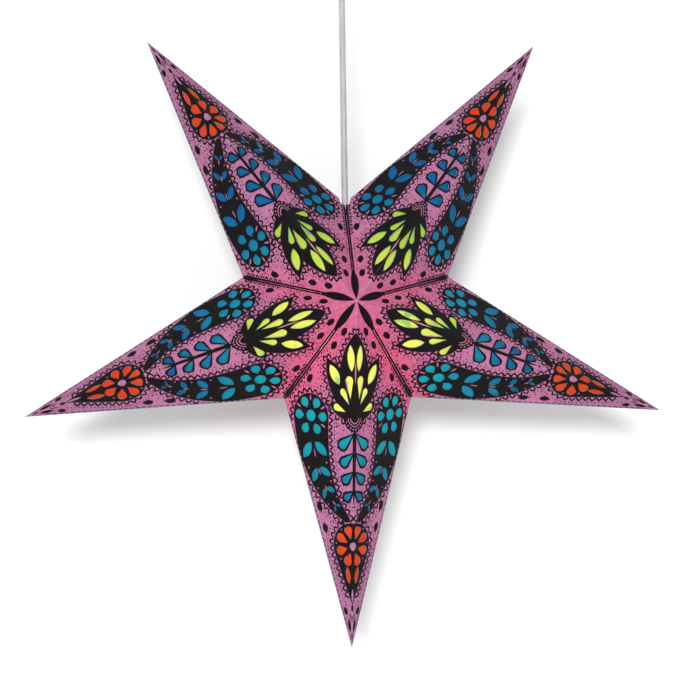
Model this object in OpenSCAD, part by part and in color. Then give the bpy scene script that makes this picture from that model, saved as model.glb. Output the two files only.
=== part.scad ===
// Hanging five-pointed star lantern of folded, window-cut paper, with its pendant lamp.
// The star stands in the XZ plane and its front peak looks along -Y.
// The origin is the middle of the ceiling rose's top face, so everything hangs below z = 0.

/* [Star] */
// From the star's centre to the tip of each point
tip_r = 315; // [290:5:345]
// From the star's centre to each notch between two points
notch_r = 102; // [96:1:110]
// From the star's middle plane to its front or back peak
peak = 85; // [78:1:95]
// From the ceiling down to the star's centre
hang = 372; // [350:1:900]

/* [Paper] */
// Thickness of the printed paper
paper_t = 0.5; // [0.3:0.05:0.7]
// Thickness of the coloured tissue behind the windows
tissue_t = 0.15; // [0.08:0.01:0.25]
// Thickness of the printed ink
ink_t = 0.1; // [0.05:0.01:0.15]
// Glue between two layers of paper
glue_gap = 0.06; // [0.04:0.01:0.12]
// Gap between two points that are glued together
glued_seam = 0.1; // [0.05:0.05:0.3]
// Gap of the seam at the top, which stays open
open_seam = 0.8; // [0.4:0.1:1.6]
// Width of the flaps that run under the next point, seen from the front
flap_w = 6; // [4:0.5:7]

/* [Windows] */
// Petals in the flower near the tip, on each side of the ridge
tip_petals = 4; // [3:1:5]
// Petals round the eye of each feather
eye_petals = 6; // [5:1:7]
// Pairs of leaves along each feather
feather_pairs = 4; // [3:1:5]
// Leaves of the fern, on each side of the ridge
fern_leaves = 4; // [3:1:5]
// Strip of paper between a window and the edge of its black field
window_rim = 2.2; // [1.8:0.1:2.6]

/* [Lamp] */
// Diameter of the pendant cable
cable_d = 6; // [4:0.5:7]
// Outer diameter of the lamp holder
holder_d = 39; // [36:1:42]
// Length of the lamp holder's shell
shell_l = 50; // [44:1:54]
// Wall of the lamp holder
holder_wall = 2; // [1.5:0.1:2.6]
// Diameter of the bulb's globe
bulb_d = 55; // [45:1:58]
// Length of the bulb below the holder
bulb_l = 74; // [68:1:80]
// Diameter of the bulb's screw cap
screw_d = 26; // [25:0.5:27]
// Running gap round what fits into the lamp holder
fit_gap = 0.3; // [0.15:0.05:0.4]
// Opening for the cable at the top notch
cable_hole_d = 11; // [9.5:0.5:13]

/* [Ceiling rose] */
// Outer diameter of the rose's cover
rose_d = 80; // [74:1:110]
// Height of the cover
rose_h = 30; // [28:1:40]
// Wall of the cover
rose_wall = 2; // [1.4:0.1:3]
// Thickness of the fixing plate
plate_t = 3.5; // [2.5:0.5:5]
// Distance between the two fixing screws
screw_pitch = 50; // [44:1:54]
// Diameter of the fixing holes
screw_hole_d = 4.5; // [3.5:0.5:5]
// Diameter of the cord grip's head
grip_d = 16; // [14:1:20]
// Height of the cord grip below the cover
grip_h = 16; // [10:1:22]

/* [Hidden] */
$fn = 48;
POINTS = ["top_right", "right", "bottom", "left", "top_left"];
LAMP = ["holder_cap", "holder_shell", "holder_insert", "bulb", "cable", "cord_grip", "rose_cover",
    "rose_plate", "terminal_block"];
BANDS = ["tip", "feather", "lotus"];
SIDES = ["front", "back"];

// The star's geometry. Every facet lies at the same distance from the centre, so that an
// offset of the whole surface is the same star scaled about its centre.
sector = 360 / len(POINTS);
half_sector = sector / 2;
ridge_l = norm([tip_r, peak]);
edge_slant = (1 / notch_r - cos(half_sector) / tip_r) / sin(half_sector);
facet_h = 1 / norm([edge_slant, 1 / peak, 1 / tip_r]);
function offset_scale(depth) = 1 - depth / facet_h;

// A facet's own frame: u runs from the peak along the ridge to the tip, v runs across.
along_ridge = [0, peak, tip_r] / ridge_l;
peak_to_notch = [notch_r * sin(half_sector), peak, notch_r * cos(half_sector)];
notch_u = peak_to_notch * along_ridge;
across_ridge = (peak_to_notch - notch_u * along_ridge) / norm(peak_to_notch - notch_u * along_ridge);
notch_v = peak_to_notch * across_ridge;
inward = cross(along_ridge, across_ridge);
FACET = [for (i = [0:2]) [along_ridge[i], across_ridge[i], inward[i], i == 1 ? -peak : 0]];

// The pattern is drawn for this ridge length and this half width. Its places are stretched to
// the facet, and its shapes are scaled by one factor, so that their arcs stay round. What lies
// past the middle of the ridge is placed back from the drawn tip.
drawn_l = 326;
drawn_half = 85;
function from_tip(back, v) = [drawn_l - back, v];
function fit_place(p) = [p.x * ridge_l / drawn_l, p.y * notch_v / drawn_half];
fit_size = min(ridge_l / drawn_l, notch_v / drawn_half);

// Layers inside the paper, as depths below its outer face
flap_depth = paper_t + glue_gap;
tissue_depth = paper_t + glue_gap;
under_tissue_depth = tissue_depth + tissue_t + glue_gap;
ridge_gap = 0.3;
flap_root = 1.2;
past = 1;
reach = 2 * tip_r;

// A shape is [kind, place, length, width, direction in degrees from the ridge]. A leaf's place is
// its middle, and a drop's is its pointed end.
function leaf(at, length, width, angle) = ["leaf", at, length, width, angle];
function drop(at, length, width, angle) = ["drop", at, length, width, angle];
function disc(at, d) = ["disc", at, d, d, 0];
drop_fullness = 0.98;
function polar(at, radius, angle) = at + radius * [cos(angle), sin(angle)];

// The flower near the tip: a drop-shaped field with a ring of petals
bud_base = from_tip(119, 0);
bud_tip = from_tip(41, 0);
bud_half = 23;
flower_at = from_tip(97, 0);
flower_eye = 7;
flower_petal = [13.5, 9];
function tip_angle(i) = 180 * (i + 0.5) / tip_petals;
TIP_WINDOWS = concat(
    [for (i = [0:tip_petals - 1])
        drop(polar(flower_at, flower_eye, tip_angle(i)), flower_petal[0], flower_petal[1], tip_angle(i))],
    [leaf(from_tip(69, 5.4), 17, 5.4, -10)]);
BUD_FIELDS = [drop(bud_tip, bud_tip.x - bud_base.x, 2 * bud_half, 180)];

// The feather: a tapering field along a curve, with an eye at its wide end
feather_from = [113, 52];
feather_bend = from_tip(150, 49);
feather_to = from_tip(122, 8);
feather_end = 3.6;
eye_r = 21;
function feather_spine(t) =
    (1 - t) * (1 - t) * feather_from + 2 * t * (1 - t) * feather_bend + t * t * feather_to;
function feather_heading(t) =
    let (d = (1 - t) * (feather_bend - feather_from) + t * (feather_to - feather_bend)) atan2(d.y, d.x);
function feather_half(t) = eye_r - (eye_r - feather_end) * pow(t, 1.4);
function feather_side(t, way) = polar(feather_spine(t), feather_half(t), feather_heading(t) + way * 90);
feather_steps = 10;
FEATHER_FIELD = concat(
    [for (i = [0:feather_steps]) feather_side(i / feather_steps, -1)],
    [for (a = [45:45:135]) polar(feather_to, feather_end, feather_heading(1) - 90 + a)],
    [for (i = [feather_steps:-1:0]) feather_side(i / feather_steps, 1)],
    [for (a = [20:20:160]) polar(feather_from, eye_r, feather_heading(0) + 90 + a)]);
eye_hole = 11;
eye_petal_from = 8.2;
eye_petal = [eye_r - eye_petal_from - window_rim, 9];
function eye_angle(i) = feather_heading(0) + 360 * (i + 0.5) / eye_petals;
EYE_WINDOWS = concat(
    [disc(feather_from, eye_hole)],
    [for (i = [0:eye_petals - 1]) let (a = eye_angle(i))
        drop(polar(feather_from, eye_petal_from, a), eye_petal[0], eye_petal[1], a)]);
pair_from = 0.25;
pair_to = 0.84;
pair_lean = 42;
pair_side = 76;
function pair_at(i) = pair_from + (pair_to - pair_from) * pow(i / (feather_pairs - 1), 0.9);
function pair_size(i) = feather_half(pair_at(i)) - window_rim;
FEATHER_LEAVES = [for (i = [0:feather_pairs - 1], way = [-1, 1]) let (t = pair_at(i), size = pair_size(i))
    leaf(polar(feather_spine(t), 0.53 * size, feather_heading(t) + way * pair_side),
        1.12 * size, 0.55 * size, feather_heading(t) + way * pair_lean)];

// The fern that stands on the ridge between the two feathers
fern_from = 124;
fern_to = drawn_l - 148;
fern_pitch = (fern_to - fern_from) / (fern_leaves - 1);
fern_leaf = [20, 0.47 * fern_pitch];
fern_taper = [9, 0.11 * fern_pitch];
fern_lean = 46;
fern_root = 2.4;
function fern_share(i) = i / (fern_leaves - 1);
function fern_size(i) = fern_leaf - fern_taper * fern_share(i);
function fern_place(i, back = 0) =
    polar([fern_from + (fern_to - fern_from) * fern_share(i), fern_root], -back, fern_lean);
FERN_WINDOWS = [for (i = [0:fern_leaves - 1])
    drop(fern_place(i), fern_size(i)[0], fern_size(i)[1], fern_lean)];
FERN_FIELDS = [for (i = [0:fern_leaves - 1])
    drop(fern_place(i, 1.6 * window_rim), fern_size(i)[0] + 2.6 * window_rim,
        fern_size(i)[1] + 2 * window_rim, fern_lean)];
FERN_STEM = [[fern_from - 6, 0], [fern_to + 14, 0], [fern_to, 1.6], [fern_from, 2.4]];

// The lotus that opens towards the peak
lotus_base = [107, 0];
lotus_lean = [180, 146, 106];
lotus_length = [78, 61, 31];
lotus_width = [36, 25, 15];
lotus_start = [-3, -5, -4];
LOTUS_FIELDS = [for (i = [0:2])
    leaf(polar(lotus_base, (lotus_start[i] + lotus_length[i]) / 2, lotus_lean[i]),
        lotus_length[i] - lotus_start[i], lotus_width[i], lotus_lean[i])];
// The windows on the leaf along the ridge are moved off it, and leant in towards it
outer_from = [41, 33];
outer_leaf = [[25, 8.5], [21, 10]];
outer_lift = [5.6, 0];
inner_from = [15, 12, 11];
inner_leaf = [[22, 8.5], [17, 7], [15, 7]];
inner_lift = [5.6, 0, 0];
lift_lean = [-4.5, 0, 0];
LOTUS_WINDOWS = concat(
    [for (i = [0:1])
        leaf(polar(lotus_base, outer_from[i] + outer_leaf[i][0] / 2, lotus_lean[i]) + [0, outer_lift[i]],
            outer_leaf[i][0], outer_leaf[i][1], lotus_lean[i] + lift_lean[i])],
    [for (i = [0:2])
        drop(polar(lotus_base, inner_from[i], lotus_lean[i]) + [0, inner_lift[i]],
            inner_leaf[i][0], inner_leaf[i][1], lotus_lean[i] + lift_lean[i])]);

// Small black seeds along the facet's edges, and two at the tip
drawn_notch_u = 102;
fold_angle = -21;
valley_angle = 40;
seed = [10, 6];
function fold_v(u) = (drawn_l - u) * drawn_half / (drawn_l - drawn_notch_u);
function valley_v(u) = u * drawn_half / drawn_notch_u;
SEEDS = concat(
    [for (back = [128, 109]) leaf(from_tip(back, fold_v(drawn_l - back) - 8), seed[0], seed[1], fold_angle)],
    [for (u = [30, 44, 78]) leaf([u, valley_v(u) - 11], seed[0], seed[1], valley_angle)],
    [leaf(from_tip(34, 7.7), 8, 4.4, fold_angle), leaf(from_tip(21, 2.9), 13, 3.4, -9)]);

WINDOWS = concat(TIP_WINDOWS, EYE_WINDOWS, FEATHER_LEAVES, FERN_WINDOWS, LOTUS_WINDOWS);
FIELDS = concat(BUD_FIELDS, FERN_FIELDS, LOTUS_FIELDS, SEEDS);
FIELD_OUTLINES = [FEATHER_FIELD, FERN_STEM];

// Outlines of the tissues, in the same drawn sizes
TIP_TISSUE = [from_tip(119, -1), from_tip(119, 21), from_tip(110, 24), from_tip(86, 21), from_tip(42, 6),
    from_tip(42, -1)];
FEATHER_TISSUE = [[102, -1], [102, 16], [88, 42], [88, 62], [104, 74], [122, 74], from_tip(162, 58),
    from_tip(130, 34), from_tip(120, 14), from_tip(120, -1)];
LOTUS_TISSUE = [[36, -1], [36, 8], [58, 32], [66, 38], [86, 32], [108, 34], [112, 20], [112, -1]];
TISSUES = [TIP_TISSUE, FEATHER_TISSUE, LOTUS_TISSUE];
TISSUE_DEPTHS = [tissue_depth, under_tissue_depth, tissue_depth];
TISSUE_COLOURS = ["orangered", "deepskyblue", "yellow"];

// The lamp. The star's top valleys come together like a roof, and rest on the holder's cone.
roof_depth = 2 * paper_t + 2 * glue_gap;
cable_r = cable_d / 2;
function roof_z(radius) = notch_r * (offset_scale(roof_depth) - radius / peak);
cap_top_r = cable_r + holder_wall;
cap_rim_r = holder_d / 2;
cap_top_z = roof_z(cap_top_r);
cap_rim_z = roof_z(cap_rim_r);
cap_skirt = 8;
shell_top_z = cap_rim_z - cap_skirt;
shell_z = shell_top_z - shell_l;
insert_r = holder_d / 2 - holder_wall - fit_gap;
insert_top_z = shell_top_z + cap_skirt / 2;
insert_l = 34;
screw_r = screw_d / 2;
thread_pitch = 3.6;
screw_depth = 1.2;
contact_z = insert_top_z - 6;
bulb_z = shell_z - bulb_l;
neck_r = screw_r - screw_depth;
lip_l = 3;

// The ceiling rose
cover_rim = 1;
plate_r = rose_d / 2 - rose_wall - fit_gap;
rose_round = 8;
grip_seat_r = grip_d / 2 - 3;
grip_clear = 0.1;
nut_l = 5;
entry_d = 10;
entry_y = 21;
block_size = [24, 14, 9];
wire_d = 4;
cable_end = -plate_t - block_size.z;
cable_start = cap_top_z - 6 - hang;

module star_solid(depth = 0) {
    tips = [for (i = [0:4]) let (a = sector * i) tip_r * [sin(a), 0, cos(a)]];
    notches = [for (i = [0:4]) let (a = half_sector + sector * i) notch_r * [sin(a), 0, cos(a)]];
    peaks = [[0, -peak, 0], [0, peak, 0]];
    scale(offset_scale(depth)) polyhedron(
        points = concat(peaks, tips, notches),
        faces = concat(
            [for (i = [0:4]) [0, 2 + i, 7 + i]],
            [for (i = [0:4]) [0, 7 + i, 2 + (i + 1) % 5]],
            [for (i = [0:4]) [1, 7 + i, 2 + i]],
            [for (i = [0:4]) [1, 2 + (i + 1) % 5, 7 + i]]));
}

// The layer of the star between two depths below its outer face
module layer(from, to) {
    difference() {
        star_solid(from);
        star_solid(to);
    }
}

// Places what is drawn upright, as if its point ran along +Z
module at_point(i) {
    translate([0, 0, -hang]) rotate([0, half_sector + sector * i, 0]) children();
}

// Places a plan drawn in x and z, all through the star's depth
module through_star() {
    rotate([90, 0, 0]) linear_extrude(2 * reach, center = true) children();
}

// The half plane beyond a point's own edge. way is 1 for the clockwise edge, -1 for the other.
module past_edge(way, from, to, inner = -reach, outer = reach) {
    along = [way * sin(half_sector), cos(half_sector)];
    away = [way * cos(half_sector), -sin(half_sector)];
    polygon([inner * along + from * away, outer * along + from * away, outer * along + to * away,
        inner * along + to * away]);
}

module on_facets(sides = [0, 1]) {
    for (back = sides, left = [0, 1])
        mirror([0, back, 0]) mirror([left, 0, 0]) multmatrix(FACET) children();
}

module leaf_outline(length, width) {
    r = (length * length + width * width) / (4 * width);
    intersection() {
        translate([0, r - width / 2]) circle(r);
        translate([0, width / 2 - r]) circle(r);
    }
}

// The straight sides meet the round end at a slight angle, just inside the tangent
module drop_outline(length, width) {
    r = width / 2;
    d = length - r;
    lean = asin(drop_fullness * r / d);
    foot = d * cos(lean) * [cos(lean), sin(lean)];
    union() {
        translate([d, 0]) circle(r);
        polygon([[0, 0], [foot.x, -foot.y], foot]);
    }
}

module shapes(list) {
    for (s = list) translate(fit_place(s[1])) rotate(s[4]) {
        if (s[0] == "leaf") leaf_outline(fit_size * s[2], fit_size * s[3]);
        if (s[0] == "drop") drop_outline(fit_size * s[2], fit_size * s[3]);
        if (s[0] == "disc") circle(fit_size * s[2] / 2);
    }
}

module outline(points) {
    polygon([for (p = points) fit_place(p)]);
}

module window_prisms() {
    on_facets() translate([0, 0, -past]) linear_extrude(paper_t + 2 * past) shapes(WINDOWS);
}

function seam_before(i) = i == 0 ? open_seam : glued_seam;
function seam_after(i) = i == 4 ? open_seam : glued_seam;

// One point of the star, folded from one sheet: two facets in front and two behind,
// with a flap along its clockwise valley that runs under the next point
module star_point(i) {
    color("orchid") at_point(i) {
        difference() {
            union() {
                intersection() {
                    layer(0, paper_t);
                    through_star() intersection() {
                        past_edge(1, -reach, -seam_after(i) / 2);
                        past_edge(-1, -reach, -seam_before(i) / 2);
                    }
                }
                intersection() {
                    layer(flap_depth, flap_depth + paper_t);
                    through_star() flap_plan(i);
                }
                intersection() {
                    layer(paper_t / 2, flap_depth + paper_t);
                    through_star() past_edge(1, -flap_root, -seam_after(i) / 2, flap_inner, flap_outer);
                }
            }
            window_prisms();
            if (i == 0 || i == 4) cable_opening(i);
        }
    }
}

flap_inner = 12;
flap_outer = notch_r - 9;
flap_taper = 5;
module flap_plan(i) {
    along = [sin(half_sector), cos(half_sector)];
    away = [cos(half_sector), -sin(half_sector)];
    seam = seam_after(i) / 2;
    polygon([
        flap_inner * along - flap_root * away, flap_outer * along - flap_root * away,
        flap_outer * along + seam * away, (flap_outer - flap_taper) * along + flap_w * away,
        (flap_inner + flap_taper) * along + flap_w * away, flap_inner * along + seam * away]);
}

// The round opening at the top notch, in the frame of the point that it cuts
module cable_opening(i) {
    rotate([0, -half_sector - sector * i, 0])
        translate([0, 0, notch_r - cable_hole_d]) cylinder(d = cable_hole_d, h = reach);
}

module point_print(i) {
    color("black") at_point(i) on_facets() translate([0, 0, -ink_t]) linear_extrude(ink_t) difference() {
        intersection() {
            union() {
                shapes(FIELDS);
                for (f = FIELD_OUTLINES) outline(f);
            }
            translate([0, ridge_gap]) square([ridge_l, notch_v]);
        }
        shapes(WINDOWS);
    }
}

// A tissue is folded along the ridge with the paper that it is glued to
module tissue(i, band, side) {
    depth = TISSUE_DEPTHS[band];
    color(TISSUE_COLOURS[band]) at_point(i) intersection() {
        layer(depth, depth + tissue_t);
        on_facets([side]) translate([0, 0, -past]) linear_extrude(depth + 2 * past) outline(TISSUES[band]);
    }
}

// Turns a half profile, drawn as [radius, height above the star's centre], about the hanging line
module turned_piece(profile) {
    translate([0, 0, -hang]) rotate_extrude() polygon(profile);
}

module holder_cap() {
    color("gainsboro") turned_piece([
        [cable_r, cap_top_z], [cap_top_r, cap_top_z], [cap_rim_r, cap_rim_z], [cap_rim_r, shell_top_z],
        [insert_r + fit_gap, shell_top_z], [insert_r + fit_gap, cap_rim_z - holder_wall],
        [cable_r, cap_top_z - 3 * holder_wall]]);
}

module holder_shell() {
    rib = 0.6;
    ribs = 5;
    rib_pitch = (shell_l - 2 * cap_skirt) / (ribs - 1);
    color("gainsboro") union() {
        turned_piece([
            [insert_r + fit_gap, shell_top_z], [cap_rim_r, shell_top_z], [cap_rim_r, shell_z],
            [screw_r + fit_gap, shell_z], [screw_r + fit_gap, shell_z + holder_wall],
            [insert_r + fit_gap, shell_z + holder_wall]]);
        for (i = [0:ribs - 1]) turned_piece([
            [cap_rim_r - rib, shell_z + cap_skirt + rib_pitch * i - 2 * rib],
            [cap_rim_r + rib, shell_z + cap_skirt + rib_pitch * i - rib],
            [cap_rim_r + rib, shell_z + cap_skirt + rib_pitch * i + rib],
            [cap_rim_r - rib, shell_z + cap_skirt + rib_pitch * i + 2 * rib]]);
    }
}

module holder_insert() {
    insert_z = insert_top_z - insert_l;
    color("whitesmoke") turned_piece([
        [0, insert_top_z], [insert_r, insert_top_z], [insert_r, insert_z], [screw_r + fit_gap, insert_z],
        [screw_r + fit_gap, contact_z], [0, contact_z]]);
}

// The screw cap and the globe, as one sealed piece
module bulb() {
    turns = 5;
    top = contact_z - fit_gap;
    globe_r = bulb_d / 2;
    globe_z = bulb_z + globe_r;
    thread_top = top - 4;
    neck_z = shell_z - lip_l;
    color("ivory") turned_piece(concat(
        [[0, bulb_z]],
        [for (a = [10:10:140]) [globe_r * sin(a), globe_z - globe_r * cos(a)]],
        [[neck_r, neck_z], [neck_r, thread_top - turns * thread_pitch]],
        [for (k = [turns:-1:1], side = [0.7, 0.3])
            [screw_r - (side == 0.7 ? 0 : 0.2), thread_top - (k - 1 + side) * thread_pitch]],
        [[neck_r - 1, thread_top], [5, top], [0, top]]));
}

// The cable's route, from the lamp holder up into the ceiling rose
CABLE_ROUTE = [for (z = [cable_start, -hang + notch_r + 40, -rose_h - grip_h - 30, cable_end]) [0, 0, z]];
cable_clear = 0.05;
module cable() {
    sides = 8;
    last = len(CABLE_ROUTE) - 1;
    ring = [for (k = [0:sides - 1]) let (a = 360 * k / sides) (cable_r - cable_clear) * [cos(a), sin(a), 0]];
    color("silver") polyhedron(
        points = [for (p = CABLE_ROUTE, q = ring) p + q],
        faces = concat(
            [[for (k = [0:sides - 1]) k]],
            [for (j = [0:last - 1], k = [0:sides - 1]) let (low = j * sides, next = (k + 1) % sides)
                [low + k, low + sides + k, low + sides + next, low + next]],
            [[for (k = [sides - 1:-1:0]) last * sides + k]]));
}

// The grip's head sits under the cover, and its nut above
module cord_grip() {
    head_z = -rose_h;
    nut_z = head_z + rose_wall;
    nut_r = grip_d / 2 - 1;
    collar = 3;
    nose_wall = 1.5;
    color("silver") rotate_extrude() polygon([
        [cable_r, head_z - grip_h], [cable_r + nose_wall, head_z - grip_h],
        [grip_d / 2 - nose_wall, head_z - collar], [grip_d / 2, head_z - collar], [grip_d / 2, head_z],
        [grip_seat_r, head_z], [grip_seat_r, nut_z], [nut_r, nut_z], [nut_r, nut_z + nut_l],
        [cable_r, nut_z + nut_l]]);
}

module rose_cover() {
    outer_r = rose_d / 2;
    inner_r = outer_r - rose_wall;
    inner_round = rose_round - rose_wall;
    bore_r = grip_seat_r + grip_clear;
    bend_z = rose_round - rose_h;
    color("white") rotate_extrude() polygon(concat(
        [[bore_r, -rose_h]],
        [for (a = [0:15:90]) [outer_r - rose_round * (1 - sin(a)), bend_z - rose_round * cos(a)]],
        [[outer_r, -cover_rim], [inner_r, -cover_rim]],
        [for (a = [90:-15:0]) [inner_r - inner_round * (1 - sin(a)), bend_z - inner_round * cos(a)]],
        [[bore_r, rose_wall - rose_h]]));
}

module rose_plate() {
    color("white") translate([0, 0, -plate_t]) difference() {
        cylinder(r = plate_r, h = plate_t);
        for (way = [-1, 1]) translate([way * screw_pitch / 2, 0, -past])
            cylinder(d = screw_hole_d, h = plate_t + 2 * past);
        translate([0, entry_y, -past]) cylinder(d = entry_d, h = plate_t + 2 * past);
    }
}

module terminal_block() {
    color("ivory") translate([0, 0, -plate_t - block_size.z / 2]) difference() {
        cube(block_size, center = true);
        for (way = [-1, 1]) translate([way * block_size.x / 4, 0, 0]) {
            rotate([90, 0, 0]) cylinder(d = wire_d - 1, h = block_size.y + 2 * past, center = true);
            translate([0, 0, -block_size.z / 2 - past]) cylinder(d = wire_d, h = block_size.z / 2 + past);
        }
    }
}

for (i = [0:4]) {
    star_point(i);
    point_print(i);
    for (band = [0:2], side = [0:1])
        tissue(i, band, side);
}
holder_cap();
holder_shell();
holder_insert();
bulb();
cable();
cord_grip();
rose_cover();
rose_plate();
terminal_block();
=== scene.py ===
"""A folded paper star lantern on its pendant cable, with a generic folk ornament on every facet."""
import cmath
import math

import bpy
import numpy as np
from mathutils import Matrix, Vector, geometry, noise


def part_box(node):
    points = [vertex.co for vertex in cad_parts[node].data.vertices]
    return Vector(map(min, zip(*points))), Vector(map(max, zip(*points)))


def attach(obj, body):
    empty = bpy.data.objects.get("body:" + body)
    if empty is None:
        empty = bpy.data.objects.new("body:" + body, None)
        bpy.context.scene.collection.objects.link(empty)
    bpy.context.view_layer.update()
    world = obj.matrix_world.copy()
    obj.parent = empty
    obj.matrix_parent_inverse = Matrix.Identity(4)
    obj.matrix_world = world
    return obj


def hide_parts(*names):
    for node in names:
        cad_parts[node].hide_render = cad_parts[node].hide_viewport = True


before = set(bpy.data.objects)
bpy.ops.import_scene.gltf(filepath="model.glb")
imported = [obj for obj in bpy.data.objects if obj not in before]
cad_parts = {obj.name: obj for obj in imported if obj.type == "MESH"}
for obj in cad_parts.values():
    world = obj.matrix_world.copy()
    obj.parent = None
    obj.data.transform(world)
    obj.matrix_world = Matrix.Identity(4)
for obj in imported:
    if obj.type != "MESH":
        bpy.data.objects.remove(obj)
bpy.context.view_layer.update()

MM = 0.001
scene = bpy.context.scene
scene.view_settings.view_transform = "Standard"


# The star's sizes, read from the CAD frame
POINTS = ["top_right", "right", "bottom", "left", "top_left"]
CEILING = ["cord_grip", "rose_cover", "rose_plate", "terminal_block"]
SECTOR = math.radians(360 / len(POINTS))
lowest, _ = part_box("point_bottom")
_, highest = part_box("point_top_right")
tip_r = (highest[2] - lowest[2]) / (1 + math.cos(SECTOR / 2))
centre = Vector((0, 0, lowest[2] + tip_r))
peak = -lowest[1]
notch_r = -lowest[0] / math.sin(SECTOR / 2)
ridge_l = math.hypot(tip_r, peak)

PAPER_T = 0.5 * MM
INK_T = 0.1 * MM
GLUE = 0.06 * MM
WELD = 0.01 * MM
CABLE_D = 6 * MM
CABLE_HOLE_D = 11 * MM


def colour(red, green, blue):
    """A colour written as it looks on a screen, in the linear values that Blender takes."""
    linear = [((c / 255 + 0.055) / 1.055) ** 2.4 if c > 10 else c / 255 / 12.92 for c in (red, green, blue)]
    return (*linear, 1.0)


# Camera, fitted to the photograph's ten outer corners and the front peak
def place_camera():
    azimuth, elevation, roll = (math.radians(a) for a in (-6.32, -4.55, -0.9))
    distance, aside, below, focal_px, frame_px = 1.8, 3.2 * MM, -37.5 * MM, 1911.8, 700
    back = Vector((math.sin(azimuth) * math.cos(elevation), -math.cos(azimuth) * math.cos(elevation),
                   math.sin(elevation)))
    level = Vector((math.cos(azimuth), math.sin(azimuth), 0))
    upright = back.cross(level)
    right = level * math.cos(roll) + upright * math.sin(roll)
    up = upright * math.cos(roll) - level * math.sin(roll)
    camera = bpy.data.objects.new("camera", bpy.data.cameras.new("camera"))
    camera.data.sensor_width = 36
    camera.data.lens = 36 * focal_px / frame_px
    turn = Matrix((right, up, back)).transposed().to_4x4()
    camera.matrix_world = Matrix.Translation(centre + back * distance + right * aside + up * below) @ turn
    scene.collection.objects.link(camera)
    scene.camera = camera


# Shader maths and materials
class Value:
    """A shader socket that arithmetic adds Math nodes to."""

    def __init__(self, finish, socket):
        self.finish, self.socket = finish, socket

    def math(self, operation, *others):
        values = {i: v for i, v in enumerate((self, *others))}
        return self.finish.node("ShaderNodeMath", {"operation": operation}, values)

    def __add__(self, other):
        return self.math("ADD", other)

    def __mul__(self, other):
        return self.math("MULTIPLY", other)

    def __pow__(self, other):
        return self.math("POWER", other)

    __radd__ = __add__
    __rmul__ = __mul__

    def fade(self, start, end):
        """1 up to start, falling smoothly to 0 at end; the other way round where start is past end."""
        low, high, at_low, at_high = (start, end, 1.0, 0.0) if start < end else (end, start, 0.0, 1.0)
        return self.finish.node("ShaderNodeMapRange", {"interpolation_type": "SMOOTHSTEP"},
                                {"Value": self, 1: low, 2: high, 3: at_low, 4: at_high})


class Finish:
    """A material built round one Principled shader."""

    def __init__(self, name, **settings):
        self.material = bpy.data.materials.new(name)
        self.material.use_nodes = True
        self.tree = self.material.node_tree
        self.shader = self.tree.nodes["Principled BSDF"]
        for key, value in settings.items():
            self.shader.inputs[key.replace("_", " ")].default_value = value

    def feed(self, socket, value):
        if isinstance(value, Value):
            self.tree.links.new(value.socket, socket)
        else:
            socket.default_value = value

    def node(self, kind, settings=None, inputs=None, output=0):
        made = self.tree.nodes.new(kind)
        for key, value in (settings or {}).items():
            setattr(made, key, value)
        for key, value in (inputs or {}).items():
            self.feed(made.inputs[key], value)
        return Value(self, made.outputs[output])

    def place(self, output="Object"):
        return self.node("ShaderNodeTexCoord", output=output)

    def noise(self, scale, detail=3.0, rough=0.55, at=None):
        return self.node("ShaderNodeTexNoise", None,
                         {"Vector": at or self.place(), "Scale": scale, "Detail": detail, "Roughness": rough})

    def drawn(self, layer, axis):
        """A place on the flat sheet, kept in a UV map of the piece."""
        return self.node("ShaderNodeSeparateXYZ", None, {0: self.node("ShaderNodeUVMap", {"uv_map": layer})}, axis)

    def stretched(self, along):
        return self.node("ShaderNodeMapping", None, {"Vector": self.place(), "Scale": (1, 1, along)})

    def mix(self, mask, low, high):
        return self.node("ShaderNodeMix", {"data_type": "RGBA"}, {0: mask, 6: low, 7: high}, 2)

    def bump(self, height, strength, distance, under=None):
        inputs = {"Height": height, "Strength": strength, "Distance": distance}
        if under:
            inputs["Normal"] = under
        return self.node("ShaderNodeBump", None, inputs)

    def set(self, **values):
        for key, value in values.items():
            self.feed(self.shader.inputs[key.replace("_", " ")], value)
        return self.material


# The lamp shines from a little below the star's centre
LAMP_AT = centre + Vector((0, 0, -40 * MM))


def lamp_glow(finish, near, far):
    """1 where the lamp is nearest, falling to 0 at the distance far."""
    away = finish.node("ShaderNodeVectorMath", {"operation": "DISTANCE"}, {0: finish.place(), 1: LAMP_AT}, "Value")
    return away.fade(near, far)


UNLIT = (0, 0, 0, 1)
MAUVE, LILAC, SHADE_FAR_FROM_LAMP = colour(198, 124, 163), colour(180, 121, 163), colour(172, 115, 150)
ROSE, BERRY, RIDGE_HIGHLIGHT = colour(218, 103, 144), colour(138, 60, 106), colour(226, 170, 204)
FOLD_BLUE, HOT_RED = colour(92, 116, 136), colour(186, 12, 40)
TURQUOISE, DEEP_TURQUOISE = colour(116, 178, 186), colour(86, 128, 140)
INK, THIN_INK, INK_LIT_BY_LAMP = colour(11, 8, 11), colour(70, 54, 68), colour(44, 14, 24)


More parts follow.
